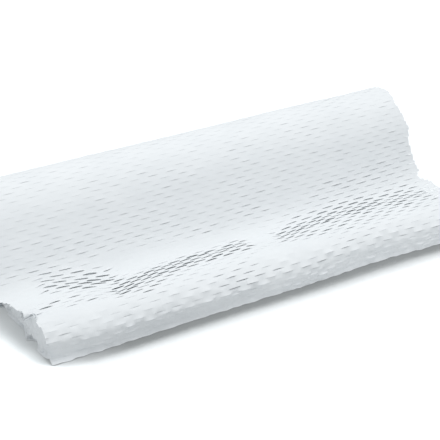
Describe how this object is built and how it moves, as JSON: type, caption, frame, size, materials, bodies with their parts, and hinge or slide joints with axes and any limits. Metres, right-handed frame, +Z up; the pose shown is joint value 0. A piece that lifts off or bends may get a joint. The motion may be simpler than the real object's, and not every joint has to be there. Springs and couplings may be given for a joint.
{
  "type": "slit paper wrap roll",
  "caption": "Loose roll of white slit packing paper lying on its side, with the outer sheet led forward over a low fold to a ragged free edge.",
  "frame": {"origin": "middle of the roll's outline on the table, seen from above, at the level that it rests on", "axes": "+X along the roll to its right end, +Y to the back, where the wound part lies, and +Z up"},
  "size_m": [0.412, 0.1666, 0.1009],
  "materials": {
    "paper": "matt, uncoated"
  },
  "bodies": {
    "root": {"paper_roll": "paper"}
  },
  "joints": []
}
